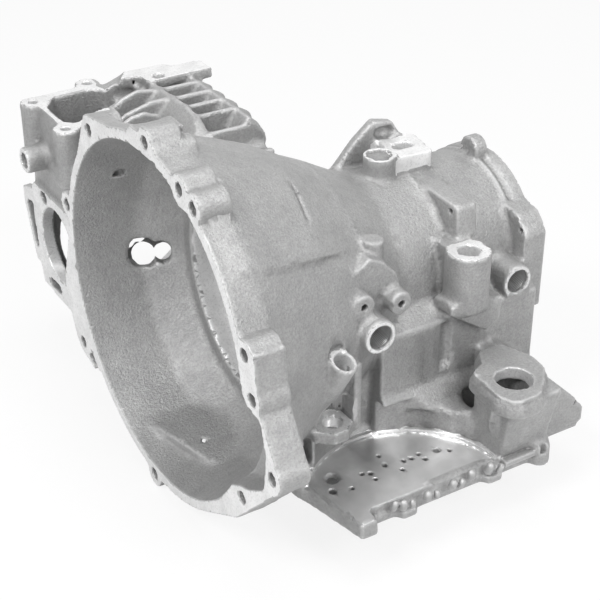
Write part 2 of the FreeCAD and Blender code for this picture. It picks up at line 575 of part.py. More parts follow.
def drilled():
    """Machined faces, bores, holes and small openings."""
    tools = []
    for number, (y, z) in enumerate(FLANGE_BOLT_PLACES):
        tools.append(rod("flange_hole_%d" % (number + 1), "X", "flange_bolt_radius", "-5",
                         "flange_boss_length + 15", "%.3f" % y, "%.3f" % z))
    slot = [(150, -115), (139, -110), (128, -121), (127, -131), (134, -128)]
    tools.append(prism("flange_slot", "X", slot, "-5", "9"))
    floor = "pan_face_z + sump_floor_height"
    tools.append(rod("floor_flycut", "Z", "floor_cut_radius", floor, floor + " + 38", "floor_cut_x", "floor_cut_y"))
    for number, outline in enumerate(FLOOR_SLOTS):
        tools.append(prism("floor_slot_%d" % (number + 1), "Z", outline, "pan_face_z", floor + " + 2"))
    tools.append(rod("tower_bore", "Z", "tower_bore_radius", "tower_top_z - 46", "tower_top_z + 5",
                     "tower_x", "tower_y"))
    tools.append(block("wall_groove", ("234", "247"), ("wall_near_y - 2", "wall_near_y + 5"), ("-70", "-22")))
    tools.append(rod("diff_bore", "X", "diff_bore_radius", "diff_plate_x - 5",
                     "diff_plate_x + diff_plate_thickness + 5", "diff_y", "diff_z"))
    for number, outline in enumerate(PLATE_WINDOWS):
        places = [(size("diff_y") + y, size("diff_z") + z) for y, z in outline]
        tools.append(prism("plate_window_%d" % (number + 1), "X", places, "diff_plate_x - 5",
                           "diff_plate_x + diff_plate_thickness + 2"))
    tools.append(rod("side_boss_bore", "Z", "side_boss_bore_radius", "side_boss_top_z - 40",
                     "side_boss_top_z + 5", "side_boss_x", "side_boss_y"))
    for name, x, z, face in NEAR_PORTS:
        tools.append(rod(name + "_bore", "Y", "port_bore_radius", "%d - 5" % face,
                         "%d + port_bore_depth" % face, str(x), str(z)))
    tools.append(angled_rod("angled_port_bore", "port_radius - 7", 30, 5))
    for number, (x, z) in enumerate(SENSOR_BOSSES):
        tools.append(rod("sensor_hole_%d" % (number + 1), "Y", "tapped_hole_radius", "-125", "-105",
                         str(x), str(z)))
    for number, (x, y) in enumerate(BOX_BOLTS):
        tools.append(rod("box_hole_%d" % (number + 1), "Z", "box_bolt_radius", "box_top_z - 30",
                         "box_top_z + 5", "%.1f" % x, "%.1f" % y))
    tools.append(rod("lug_hole", "Z", "lug_hole_radius", "lug_top_z - lug_thickness - 5", "lug_top_z + 5",
                     "112", "-118"))
    tools.append(rod("pad_hole", "Z", "6.5", "pad_top_z - 22", "pad_top_z + 5", "151", "274"))
    slot = [(256, 2), (276, 2), (276, 14), (256, 14)]
    tools.append(prism("block_slot", "Z", slot, "block_top_z - block_thickness - 6", "block_top_z + 5"))
    tools.append(prism("ear_pocket", "Y", [(247, 103), (251, 112), (268, 112), (272, 103), (259, 99)], "22", "34"))
    return tools


cast = joined("castings", bell_castings() + barrel_castings() + sump_castings() + differential_castings()
              + fin_castings() + side_castings())
hollow = without("hollow_casting", cast, joined("cavities", hollows()))
housing = without("housing", hollow, joined("machining", drilled()))
housing.Label = "gearbox_housing"
doc.recompute()

for thing in doc.Objects:
    if "Invalid" in thing.State or "Error" in thing.State:
        raise RuntimeError("%s did not build: %s" % (thing.Label, thing.State))

os.makedirs("parts", exist_ok=True)
for part in (housing,):
    if part.Shape.isNull() or not part.Shape.isValid():
        raise RuntimeError("%s has no valid shape" % part.Label)
    part.Shape.exportStep(os.path.join("parts", part.Label + ".step"))
    print(part.Label, "solids", len(part.Shape.Solids), "volume", round(part.Shape.Volume / 1000), "cm3",
          "box", part.Shape.BoundBox)
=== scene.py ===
# %% [markdown]
# The subject is one bare aluminium casting: the housing of a transaxle gearbox. A casting like this is
# poured in one piece, so its walls flow into each other through soft fillets, and afterwards a milling
# machine cuts a few faces and bores to a crisp, bright finish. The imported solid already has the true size
# and the walls, ribs, bosses and bores, so this script keeps its form and gives it those two kinds of edge.
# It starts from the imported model, in metres, and keeps the box that the model fills.

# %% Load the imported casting
import math

import bpy
import numpy as np
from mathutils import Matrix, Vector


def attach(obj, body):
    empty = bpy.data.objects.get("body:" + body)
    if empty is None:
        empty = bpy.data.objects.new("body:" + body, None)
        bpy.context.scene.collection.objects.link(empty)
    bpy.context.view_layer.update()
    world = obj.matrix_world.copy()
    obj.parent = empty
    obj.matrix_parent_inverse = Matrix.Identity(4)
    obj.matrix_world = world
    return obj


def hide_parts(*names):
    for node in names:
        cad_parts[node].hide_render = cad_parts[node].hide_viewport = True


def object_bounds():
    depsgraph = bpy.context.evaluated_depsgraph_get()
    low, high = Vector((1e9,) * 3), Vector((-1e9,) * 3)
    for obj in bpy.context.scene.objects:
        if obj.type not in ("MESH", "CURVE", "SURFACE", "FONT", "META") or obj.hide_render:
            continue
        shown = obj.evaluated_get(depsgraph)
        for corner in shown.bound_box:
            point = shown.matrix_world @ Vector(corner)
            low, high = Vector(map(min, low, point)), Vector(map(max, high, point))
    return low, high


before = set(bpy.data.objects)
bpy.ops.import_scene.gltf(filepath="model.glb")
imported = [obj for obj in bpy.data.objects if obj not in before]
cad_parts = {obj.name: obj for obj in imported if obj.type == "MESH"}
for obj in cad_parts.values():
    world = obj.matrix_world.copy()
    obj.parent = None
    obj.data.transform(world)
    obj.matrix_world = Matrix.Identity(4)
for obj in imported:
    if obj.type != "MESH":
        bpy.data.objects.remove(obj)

import openvdb
from mathutils import Matrix, Vector

NODE = "gearbox_housing"
MM = 0.001
cad_box = [list(corner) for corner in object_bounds()]
print("packed box in metres:", cad_box)

# %% [markdown]
# Soft fillets are hard to make on a triangle mesh: bevels fail where many small faces meet. A distance
# field is the better tool. It is a box of cells, and each cell holds how far it is from the nearest wall,
# below zero inside the metal. In a field a fillet, a milled face or a drilled hole is one line of
# arithmetic, and the surface is wherever the value crosses zero. The cells are 1.25 mm wide, about one
# pixel of the picture.

# %% Turn the casting into a distance field
CELL = 1.25
BAND = 6
LATTICE = openvdb.createLinearTransform(CELL)


def merged_mesh(thing):
    """Corner points in millimetres, each kept once, and the triangles that use them."""
    mesh = thing.data
    mesh.calc_loop_triangles()
    points = np.empty(len(mesh.vertices) * 3, np.float32)
    mesh.vertices.foreach_get("co", points)
    triangles = np.empty(len(mesh.loop_triangles) * 3, np.int32)
    mesh.loop_triangles.foreach_get("vertices", triangles)
    single, place = np.unique(np.round(points.reshape(-1, 3) / MM, 3), axis=0, return_inverse=True)
    return single, place.reshape(-1)[triangles].reshape(-1, 3)


def level_set(points, triangles, quads=None):
    """A thin band of distances on both sides of a closed mesh."""
    quads = np.empty((0, 4)) if quads is None else quads
    return openvdb.FloatGrid.createLevelSetFromPolygons(
        points.astype(np.float32), triangles=triangles.astype(np.uint32), quads=quads.astype(np.uint32),
        transform=LATTICE, halfWidth=BAND)


def moved_out(level, distance):
    """The same shape with its whole skin moved outwards, or inwards where the distance is below zero."""
    points, triangles, quads = level.convertToPolygons(isovalue=distance, adaptivity=0.01)
    return level_set(points, triangles, quads)


casting = level_set(*merged_mesh(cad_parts[NODE]))
print("cells in the band:", casting.activeVoxelCount())

# %% [markdown]
# A ball that rolls along two walls can't reach into their corner, and the metal that it can't reach is
# the fillet. Moving the skin out by the ball's radius and back in by as much leaves just that: every
# inner corner gets a fillet and nothing else changes. The field is then copied to a plain array, so numpy
# can work on it.

# %% Fillet the inner corners
FILLET = 2.6

casting = moved_out(moved_out(casting, FILLET), -FILLET)
low_cell, high_cell = casting.evalActiveVoxelBoundingBox()
field = np.empty([high - low + 1 for low, high in zip(low_cell, high_cell)], np.float32)
casting.copyToArray(field, ijk=low_cell)
LIMIT = float(field.max())
print("cells:", field.shape, "farthest distance kept:", round(LIMIT, 2), "mm")


def window(low, high):
    """The slices of the field between two corners in millimetres, and the x, y and z of its cells there."""
    slices, places = [], []
    for axis in range(3):
        first = max(int(math.ceil(low[axis] / CELL)) - low_cell[axis], 0)
        last = min(int(math.floor(high[axis] / CELL)) - low_cell[axis] + 1, field.shape[axis])
        slices.append(slice(first, max(last, first)))
        shape = [1, 1, 1]
        shape[axis] = -1
        places.append(((np.arange(first, max(last, first)) + low_cell[axis]) * CELL).reshape(shape))
    return tuple(slices), places


FAR = 1000.0


def take_away(low, high, shape):
    """Cut a shape, given as a distance of x, y and z, out of the metal inside one window."""
    part, places = window(low, high)
    field[part] = np.maximum(field[part], -shape(*places).astype(np.float32))


def put_on(low, high, shape):
    """Add a shape to the metal inside one window."""
    part, places = window(low, high)
    field[part] = np.minimum(field[part], shape(*places).astype(np.float32))


def cylinder(axis, first, second, radius, start, end):
    """Distance from a cylinder along x, y or z: how far a cell lies outside its wall or past its ends,
    whichever is larger."""
    def distance(x, y, z):
        along = (x, y, z)["xyz".index(axis)]
        across = [place for place, name in zip((x, y, z), "xyz") if name != axis]
        out = np.sqrt((across[0] - first) ** 2 + (across[1] - second) ** 2) - radius
        return np.maximum(out, np.maximum(start - along, along - end))
    return distance


def drill(axis, first, second, radius, start, end):
    """Cut a cylinder out of the metal."""
    shape = cylinder(axis, first, second, radius, start, end)
    room = radius + 3 * CELL
    low = {"x": (start, first - room, second - room), "y": (first - room, start, second - room),
           "z": (first - room, second - room, start)}[axis]
    high = {"x": (end, first + room, second + room), "y": (first + room, end, second + room),
            "z": (first + room, second + room, end)}[axis]
    spread = [3 * CELL if name == axis else 0 for name in "xyz"]
    take_away([a - s for a, s in zip(low, spread)], [a + s for a, s in zip(high, spread)], shape)


# %% [markdown]
# Milled faces need a crisp rim, but the next step softens every edge. Foundries have the same problem: they
# cast the faces too thick and mill them down. So each milled face first grows a little outwards, as casting
# stock, then the whole field is softened, and last the stock is cut off again in one flat plane.

# %% List the milled faces and the tools that shape them
SOFTEN = 0.75

# Each milled face: its axis, its place, its outward side, and the window it lies in, all in millimetres.
# A round boss also has its middle and radius, so nothing beside it is touched.
MILLED = [
    ("x", 0.0, -1, (-FAR, -FAR, -FAR), (FAR, FAR, FAR), None),
    ("x", 358.0, 1, (-FAR, -FAR, -FAR), (FAR, FAR, FAR), None),
    ("x", 20.0, -1, (-FAR, 197, -125), (21, 350, 8), None),
    ("y", 335.0, 1, (28, -FAR, -175), (228, FAR, 24), None),
    ("z", 90.0, 1, (8, 205, -FAR), (60, 330, FAR), None),
    ("z", 90.0, 1, (60, 234, -FAR), (83, 254, FAR), None),
    ("z", 90.0, 1, (60, 255, -FAR), (99, 335, FAR), None),
    ("z", 100.0, 1, (110, 261, -FAR), (212, 308, FAR), None),
    ("z", 100.0, 1, (248.5, -18, -FAR), (293, 26, FAR), None),
    ("z", 103.0, 1, (-FAR, -FAR, 80), (FAR, FAR, FAR), (233, -3, 15)),
    ("z", 45.0, 1, (-FAR, -FAR, 20), (FAR, -88, 60), (261, -104, 20.5)),
    ("z", -75.0, 1, (-FAR, -FAR, -95), (128, FAR, -55), (112, -118, 17)),
    ("z", -141.0, -1, (95, -FAR, -FAR), (FAR, 100, FAR), None),
    ("y", -131.0, -1, (130, -FAR, -20), (175, FAR, 30), (151.5, 4.5, 16)),
    ("y", -106.0, -1, (300, -FAR, -17), (340, FAR, 17), (319, -4, 16)),
]


def on_boss(boss, first, second):
    """Which places lie on a round boss, a little wider than it is; without a boss, all of them."""
    if boss is None:
        return np.bool_(True)
    return np.hypot(first - boss[0], second - boss[1]) < boss[2] + 1.2


def face_window(axis, place, side, low, high, boss):
    """The face's window, from two cells inside the metal outwards, how far each cell is past the face, and
    which columns of cells belong to it."""
    number = "xyz".index(axis)
    low, high = list(low), list(high)
    if side < 0:
        high[number] = place + 2 * CELL
    else:
        low[number] = place - 2 * CELL
    part, places = window(low, high)
    others = [places[i] for i in range(3) if i != number]
    return part, (places[number] - place) * side, number, on_boss(boss, *others)


def add_stock(*face):
    """Past the face, every cell repeats the first one inside it, so the metal runs on outwards."""
    part, ahead, number, column = face_window(*face)
    view = np.moveaxis(field[part], number, 0)
    inside = ahead.reshape(-1) <= -0.6 * CELL
    first = np.nonzero(inside)[0][-1 if face[2] > 0 else 0]
    column = np.broadcast_to(column, field[part].shape)
    column = np.moveaxis(column, number, 0)[0]
    view[~inside] = np.where(column, view[first], view[~inside])


def mill(*face):
    """Whatever lies past the face is cut away."""
    part, ahead, number, column = face_window(*face)
    field[part] = np.where(column, np.maximum(field[part], ahead.astype(np.float32)), field[part])


def softened(values, cells):
    """Each value becomes the bell-shaped average of its neighbours, one axis after the other."""
    reach = int(math.ceil(2.5 * cells))
    weights = np.exp(-0.5 * (np.arange(-reach, reach + 1) / cells) ** 2)
    weights = (weights / weights.sum()).astype(np.float32)
    for axis in range(3):
        margins = [(reach, reach) if axis == other else (0, 0) for other in range(3)]
        padded = np.pad(values, margins, mode="edge")
        total = np.zeros_like(values)
        for step, weight in enumerate(weights):
            part = [slice(None)] * 3
            part[axis] = slice(step, step + values.shape[axis])
            total += weight * padded[tuple(part)]
        values = total
    return values


print("milled faces listed:", len(MILLED))

# %% [markdown]
# The mould leaves its own marks: two round bands on the barrel, and thin seams down the case wall where
# its halves meet. The bell's thicker upper wall also has to fade out rearwards, and the foot of the bell
# needs its full wall. All this is added before the softening, so it melts into the casting.

# %% Add the bands, the seams and the bell's foot


def capsule(first, second, radius):
    """Distance from a rod with round ends: how far a cell is from the nearest point of a line, less the
    radius."""
    first, second = np.array(first, float), np.array(second, float)
    along = second - first

    def distance(x, y, z):
        away = [x - first[0], y - first[1], z - first[2]]
        share = sum(a * b for a, b in zip(away, along)) / (along @ along)
        share = np.clip(share, 0, 1)
        return np.sqrt(sum((a - share * b) ** 2 for a, b in zip(away, along))) - radius
    return distance


def hoop(place, around, radius):
    """Distance from a ring round the main axis: a circle at one x, thickened by the radius."""
    def distance(x, y, z):
        return np.hypot(np.hypot(y, z) - around, x - place) - radius
    return distance


def add_capsule(first, second, radius):
    """Add a rod with round ends to the metal, in a window that holds it."""
    low = np.minimum(first, second) - radius - 3 * CELL
    high = np.maximum(first, second) + radius + 3 * CELL
    put_on(low, high, capsule(first, second, radius))


# Each band: the window of the barrel's upper half that it lies in, its place, and its two radii.
BANDS = [((250, -90, 10), (266, 60, 92), 258.2, 81.2, 2.2), ((334, -90, 10), (346, 60, 92), 338, 76.5, 2.4)]
for low, high, place, around, radius in BANDS:
    put_on(low, high, hoop(place, around, radius))

# The bell's thicker upper wall ends in a step. Its radius, place by place along x, and the two turns
# round the main axis, in degrees, that it lies between.
STEP_X, STEP_RADIUS, STEP_TURNS = (100, 108, 158), (132, 137.5, 109.5), (84, 142)
# The bell's inner cone, place by place along x, and the thickness of its wall.
CONE_X, CONE_RADIUS, CONE_WALL = (0, 62, 98), (161.5, 147.5, 125), 6


def step_fade(x, y, z):
    """A ramp that falls from the step's rear edge to the cone, kept between two planes through the axis."""
    out = np.hypot(y, z) - np.interp(x, STEP_X, STEP_RADIUS)
    above, below = (math.radians(turn) for turn in STEP_TURNS)
    turn = np.maximum(math.sin(above) * y - math.cos(above) * z, -math.sin(below) * y + math.cos(below) * z)
    return np.maximum(out, np.maximum(turn, 101 - x))


def bell_wall(x, y, z):
    """The foot of the bell's wall: a shell right outside its inner cone."""
    out = np.hypot(y, z) - np.interp(x, CONE_X, CONE_RADIUS)
    return np.maximum(np.maximum(-out, out - CONE_WALL), np.maximum(70 - x, x - 98))


put_on((96, -120, 60), (162, 30, 142), step_fade)
put_on((66, -60, -150), (102, 60, -118), bell_wall)

# A groove runs up the step, and the seams are rods with round ends.
take_away((96, -104, 88), (122, -36, 138), capsule((106, -90, 107), (114, -42, 130), 2.0))
SEAMS = [((242, -176, -96), (242, -176, -76), 5.0), ((214, -104.6, -80), (214, -104.6, -24), 1.5),
         ((287, -104.6, -98), (287, -104.6, -40), 1.5), ((36, 139, 79), (41, 127, 79), 3.0)]
for seam in SEAMS:
    add_capsule(*seam)
print("bands and seams:", len(BANDS) + len(SEAMS))

# %% Grow stock, soften the edges, and mill the faces
# The tower and the shelf beside it are cast softer than the rest: their two boxes, and how far, in
# millimetres.
SOFT_PLACES = [((228, -222, -135), (312, -120, -66), 2.375), ((170, -192, -137), (306, -92, -84), 2.0)]


def soften_more(low, high, cells, fade=6.0):
    """Soften one box of the field further, and fade that out towards the sides of the box."""
    part, places = window(low, high)
    share = 1.0
    for place, start, end in zip(places, low, high):
        share = share * np.clip(np.minimum(place - start, end - place) / fade, 0, 1)
    field[part] += share.astype(np.float32) * (softened(field[part], cells) - field[part])


for face in MILLED:
    add_stock(*face)
field = softened(field, SOFTEN)
for low, high, reach in SOFT_PLACES:
    soften_more(low, high, reach / CELL)
for face in MILLED:
    mill(*face)
print("milled faces:", len(MILLED))

# %% [markdown]
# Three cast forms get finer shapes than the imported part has: the lug's flat top with its rounded left
# side, the stepped rim round the tower's plate, and the shelf, whose top meets the wall in a wide fillet.

# %% Shape the lug, the tower's rim and the shelf


def outline_distance(outline, x, y):
    """Distance from the nearest edge of a closed outline. It is below zero inside, where a ray outwards
    crosses the outline an odd number of times."""
    nearest, inside = FAR, np.bool_(False)
    for (x0, y0), (x1, y1) in zip(outline, outline[1:] + outline[:1]):
        run, rise = x1 - x0, y1 - y0
        share = np.clip(((x - x0) * run + (y - y0) * rise) / (run * run + rise * rise), 0, 1)
        nearest = np.minimum(nearest, np.hypot(x - x0 - share * run, y - y0 - share * rise))
        crossed = ((y0 > y) != (y1 > y)) & (x < run * (y - y0) / (rise or 1e-9) + x0)
        inside = inside ^ crossed
    return np.where(inside, -nearest, nearest)


def slab(outline, start, end, rounding, grow=0.0):
    """Distance from a flat plate between two heights, with rounded edges: less than zero where a point is
    both within its outline and within its heights. The outline may also grow outwards."""
    def distance(x, y, z):
        out = outline_distance(outline, x, y) - grow + rounding
        past = np.maximum(start - z, z - end) + rounding
        inside = np.minimum(np.maximum(out, past), 0)
        return inside + np.hypot(np.maximum(out, 0), np.maximum(past, 0)) - rounding
    return distance


def melt_on(low, high, shape, soft):
    """Add a shape and round the corner between it and the metal: the smooth smaller one of two distances."""
    part, places = window(low, high)
    old, new = field[part], shape(*places).astype(np.float32)
    share = np.clip(0.5 + 0.5 * (old - new) / soft, 0, 1)
    field[part] = old + share * (new - old) - soft * share * (1 - share)


# Their outlines in x and y, and the middle, radius and height of the round floor that the fly cutter left.
LUG = [(91.4, -105.7), (102, -97), (114.5, -92), (126.4, -88.9), (134.8, -90.3), (134, -122), (117, -134),
       (104.9, -135), (90.5, -123.5)]
PLATE = [(248, -152), (262, -146), (271, -130), (284, -130), (292, -151), (293, -156), (291, -170),
         (280, -183), (268, -194), (262, -196), (252, -196), (248, -193), (245, -186)]
SHELF = [(196, -96), (211, -104), (216, -109), (222, -121), (230.5, -136.5), (246, -146), (246, -98),
         (196, -88)]
DISC_X, DISC_Y, DISC_RADIUS, DISC_FLOOR = 150.5, -186.5, 91, -125
put_on((80, -145, -95), (145, -80, -65), slab(LUG, -87, -75, 0.8))
# The tower's plate widens downwards in three steps, and the lowest one melts into the tower.
put_on((225, -216, -75), (315, -112, -45), slab(PLATE, -64, -52, 1.2, 9.0))
put_on((225, -216, -75), (315, -112, -45), slab(PLATE, -66, -56, 1.2, 10.4))
melt_on((225, -216, -86), (315, -112, -50), slab(PLATE, -70, -60.5, 1.8, 11.8), 5.0)
melt_on((180, -165, -134), (260, -84, -85), slab(SHELF, -128, -99.5, 4.0), 6.0)


def lip(x, y, z):
    """A low round lip that the fly cutter leaves behind its disc: a ring 5 mm wide and 3.5 mm high."""
    out = np.abs(np.hypot(x - DISC_X, y - DISC_Y) - (DISC_RADIUS + 2.5)) - 1.5
    return np.hypot(np.maximum(out, 0), np.maximum(z - (DISC_FLOOR + 2.5), 0)) - 1.0


put_on((92, -175, -129), (250, -85, -118), lip)
print("corners of the lug, the plate and the shelf:", len(LUG), len(PLATE), len(SHELF))

# %% [markdown]
# The softening also rounds corners that a tool had cut sharp, and the fillet has closed the smallest holes.
# The same tools cut them once more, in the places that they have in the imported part. Small holes, drillings
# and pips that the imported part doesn't have are made here as well.

# %% Cut the bores and the small holes
# Each bore: its axis, its two places across it, its radius, the cut's two ends, and the ends of its
# bright wall.
BORES = [("x", 0, 0, 112, (98, 122), (98, 122)), ("x", 0, 0, 100, (122, 160), (122, 160)),
         ("x", 0, 0, 70, (160, 364), (160, 364)), ("x", 258, -53, 41, (14, 36), (19, 36)),
         ("y", 128, -76, 83, (262, 341), (262, 336)), ("z", 265, -173, 17, (-98, -47), (-65, -52.3)),
         ("z", 261, -104, 10.2, (5, 50), (5, 50)), ("z", 112, -118, 8.5, (-92, -70), (-90, -74)),
         ("z", 151, 274, 6.5, (78, 105), (78, 101)), ("z", 25, 301, 5, (60, 95), (60, 91)),
         ("z", 91, 317, 5, (60, 95), (60, 91)), ("z", 27, 224, 5, (60, 95), (60, 91))]
# The two side ports, with the ends of their threads.
PORTS = [("y", 151.5, 4.5, 11, (-136, -105), (-128, -105)), ("y", 319, -4, 11, (-111, -80), (-103, -80))]
for axis, first, second, radius, ends, _ in BORES + PORTS:
    drill(axis, first, second, radius, *ends)
drill("z", DISC_X, DISC_Y, DISC_RADIUS, DISC_FLOOR, -87)

# Below the tower its bore is wider. The well there gets a floor about level with the sump's, so no light
# comes up through it.
WELL = [(246, -194), (296, -194), (296, -108), (246, -108)]
drill("z", 266, -162, 18, -97, -64)
put_on((240, -200, -132), (300, -105, -116), slab(WELL, -129, -123, 0.5))

# Two sensor holes, a recess with its small hole in the front stub, and a hole in the pan rail.
for x, z in ((142, 31), (180, 23)):
    drill("y", x, z, 3.2, -125, -105)
for radius, start, end in ((8, -2, 5), (2.4, 3, 14)):
    drill("x", 275, 42, radius, start, end)
drill("z", 287, -196, 2.8, -128, -112)

# Bolt holes of the flange: how far each lies outside the bolt circle, and its place in degrees.
BOLT_CIRCLE = 174
FLANGE_BOLTS = ((1.4, 12.8), (0.9, 53.5), (-0.8, 93.0), (-4.2, 113.2), (-0.4, 120.9), (0.9, 160.6),
                (3.5, 172.5), (33.8, 189.4), (3.7, 208.6), (-1.6, 274.0), (18.5, 326.2))
for out, turn in FLANGE_BOLTS:
    turn = math.radians(turn)
    drill("x", (BOLT_CIRCLE + out) * math.cos(turn), (BOLT_CIRCLE + out) * math.sin(turn), 5.5, -5, 44)


def slanted(point, way, radius, start, end):
    """Distance from a cylinder along any way; start and end count from the point."""
    way = np.array(way) / np.linalg.norm(way)

    def distance(x, y, z):
        away = [x - point[0], y - point[1], z - point[2]]
        along = sum(a * b for a, b in zip(away, way))
        out = np.sqrt(np.maximum(sum(a ** 2 for a in away) - along ** 2, 0)) - radius
        return np.maximum(out, np.maximum(start - along, along - end))
    return distance


# The angled port: the middle of its face, the way it faces, and the window it lies in.
ANGLED_FACE, ANGLED_WAY, ANGLED_BORE = (108, -141, 2), (0.18, -0.41, 0.89), 9
ANGLED_WINDOW = ((80, -165, -35), (132, -110, 25))
take_away(*ANGLED_WINDOW, slanted(ANGLED_FACE, ANGLED_WAY, 16, 0, 12))
take_away(*ANGLED_WINDOW, slanted(ANGLED_FACE, ANGLED_WAY, ANGLED_BORE, -30, 12))

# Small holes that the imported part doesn't have: in the lugs, the gusset and the far wall.
drill("y", 129.5, 93.6, 2.5, 284, 299)
drill("x", -86, 35, 2.4, 330, 342)
drill("x", 8, 82, 2.4, 330, 352)
drill("x", -73, 69, 2.5, 258, 276)

# A torn hole high in the bell, and a slanted one low in it that lets a spot of light in.
TEAR_WINDOW = ((26, 118, 64), (52, 150, 94))
take_away(*TEAR_WINDOW, capsule((35, 139, 77), (40, 129, 80), 4.2))
take_away(*TEAR_WINDOW, capsule((38, 140, 84), (41, 132, 76), 3.0))
take_away((30, -20, -175), (75, 50, -128), slanted((46, -1, -144), (0.361, 0.718, -0.595), 2.3, -12, 40))

# The photo shows the pale ground through the bell's window, so the way behind it is clear.
SIGHT_WINDOW = ((20, 90, -120), (160, 290, 30))
take_away(*SIGHT_WINDOW, capsule((49, 113, 0), (113, 256, -87), 12.0))
take_away(*SIGHT_WINDOW, capsule((69, 113, -3), (136, 256, -90), 9.0))

# The breather sits in a round recess of the block: its middle, its radius and its floor.
RECESS_X, RECESS_Y, RECESS_RADIUS, RECESS_FLOOR = 233, -3, 11.6, 100.6


def burred_recess(x, y, z):
    """A shallow round recess whose wall wanders, as the torn burr round it does."""
    turn = np.arctan2(y - RECESS_Y, x - RECESS_X)
    wander = 0.8 * np.sin(3 * turn + 1) + 0.6 * np.sin(7 * turn) + 0.4 * np.sin(13 * turn + 2)
    out = np.hypot(x - RECESS_X, y - RECESS_Y) - RECESS_RADIUS - wander
    return np.maximum(out, RECESS_FLOOR - z)


take_away((216, -20, 98), (250, 14, 108), burred_recess)

# Drillings in the sump floor: x, y and radius. The two wide ones go through, the others end in the floor.
FLOOR_DRILLINGS = [(95, -146, 3.5), (206, -145, 3.2), (112, -151, 1.8), (136, -151, 1.8), (157, -125, 1.8),
                   (154, -139, 2.4), (130, -139, 1.8), (137, -142, 2.2), (172, -142, 2.0), (164, -152, 1.8),
                   (180, -143, 2.0), (189, -141, 1.8), (190, -150, 2.0), (216, -151, 1.8)]
for x, y, radius in FLOOR_DRILLINGS:
    drill("z", x, y, radius, -145 if radius > 3 else -130, -120)

# Pips along the floor's near edge, each leaning a little its own way: x, y and radius.
PIPS = [(136, -193, 4.2), (161, -194, 4.2), (187, -193, 4.2), (211, -190, 4.2), (229, -191, 4.2),
        (144, -196, 3.0), (169, -196.5, 3.0), (195, -195.5, 3.0), (237, -196, 3.2), (128, -190, 3.2)]
for x, y, radius in PIPS:
    lean = 1.2 * math.sin(3 * x)
    put_on((x - 12, y - 12, -132), (x + 12, y + 12, -108),
           capsule((x, y, -127), (x + lean, y - 1.5, -121.6), radius * (1 + 0.08 * math.sin(x))))

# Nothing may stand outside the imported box, so all that lies past its six sides is cut away.
_, places = window((-FAR, -FAR, -FAR), (FAR, FAR, FAR))
for number, place in enumerate(places):
    low, high = cad_box[0][number] / MM, cad_box[1][number] / MM
    field = np.maximum(field, np.maximum(low - place, place - high).astype(np.float32))
print("bores and ports:", len(BORES + PORTS), "bolt holes:", len(FLANGE_BOLTS), "drillings:",
      len(FLOOR_DRILLINGS), "pips:", len(PIPS))

# %% [markdown]
# The field's zero surface is now read back as a mesh. Flat walls need few faces and fillets need many, so
# the reading may merge faces where the surface is nearly flat.

# %% Read the surface back as a mesh
MOST_FACES = 195000


def sampled(values, points):
    """Values between cells: the average of the eight cells around a point, weighted by nearness."""
    spots = points / CELL - np.array(low_cell)
    base = np.clip(np.floor(spots).astype(int), 0, np.array(values.shape[:3]) - 2)
    share = spots - base
    total = 0
    for corner in np.ndindex(2, 2, 2):
        corner = np.array(corner)
        weight = np.prod(np.where(corner, share, 1 - share), axis=1)
        i, j, k = (base + corner).T
        total = total + weight * values[i, j, k]
    return total


def read_surface():
    """Points and faces where the field crosses zero, with no more faces than one piece may have."""
    grid = openvdb.FloatGrid(background=LIMIT)
    grid.transform = LATTICE
    grid.copyFromArray(field, ijk=low_cell, tolerance=1e-4)
    for merge in (0.02, 0.05, 0.08, 0.11, 0.14, 0.17, 0.2, 0.25, 0.3, 0.4):
        points, triangles, quads = grid.convertToPolygons(isovalue=0, adaptivity=merge)
        count = len(triangles) + 2 * len(quads)
        if count <= MOST_FACES:
            break
    print("faces as triangles:", count, "at merging", merge)
    return points, triangles, quads


points, triangles, quads = read_surface()
corner_a, corner_b, corner_c = (points[triangles[:, i]] for i in range(3))
volume = np.einsum("ij,ij->i", corner_a, np.cross(corner_b, corner_c)).sum() / 6
a, b, c, d = (points[quads[:, i]] for i in range(4))
for second, third in ((b, c), (c, d)):
    volume += np.einsum("ij,ij->i", a, np.cross(second, third)).sum() / 6
if volume < 0:
    triangles, quads = triangles[:, ::-1], quads[:, ::-1]
print("volume:", round(abs(volume) / 1000), "cm3")

# %% Fill a Blender mesh with it


def filled_mesh(name, points, triangles, quads):
    """A mesh of triangles and quads, set as whole arrays."""
    mesh = bpy.data.meshes.new(name)
    mesh.vertices.add(len(points))
    mesh.vertices.foreach_set("co", points.astype(np.float32).ravel())
    loops = np.concatenate([triangles.ravel(), quads.ravel()]).astype(np.int32)
    mesh.loops.add(len(loops))
    mesh.loops.foreach_set("vertex_index", loops)
    sizes = np.concatenate([np.full(len(triangles), 3), np.full(len(quads), 4)])
    starts = np.concatenate([[0], np.cumsum(sizes)[:-1]]).astype(np.int32)
    mesh.polygons.add(len(sizes))
    mesh.polygons.foreach_set("loop_start", starts)
    mesh.update(calc_edges=True)
    mesh.validate()
    thing = bpy.data.objects.new(name, mesh)
    bpy.context.scene.collection.objects.link(thing)
    return thing


housing = filled_mesh("housing_casting", points * MM, triangles, quads)
mesh = housing.data
mesh.polygons.foreach_set("use_smooth", np.ones(len(mesh.polygons), bool))
print("faces in the mesh:", len(mesh.polygons))

# %% [markdown]
# Most of the casting keeps the rough skin that the mould left, and the rest is machined. Each point of
# the mesh gets three numbers: how far it is from the nearest milled face or bored wall, from the fly-cut
# floor and from the threads. A material can then change its finish within a fraction of a millimetre of
# the real edge. A fourth number tells outer edges from hollows: what softening adds there, above zero
# where the metal bends out.

# %% Measure how far each point is from the machined surfaces
# The flat steps inside the barrel, each at its place on x and out to its radius.
STEPS = [(122, 112), (160, 100)]
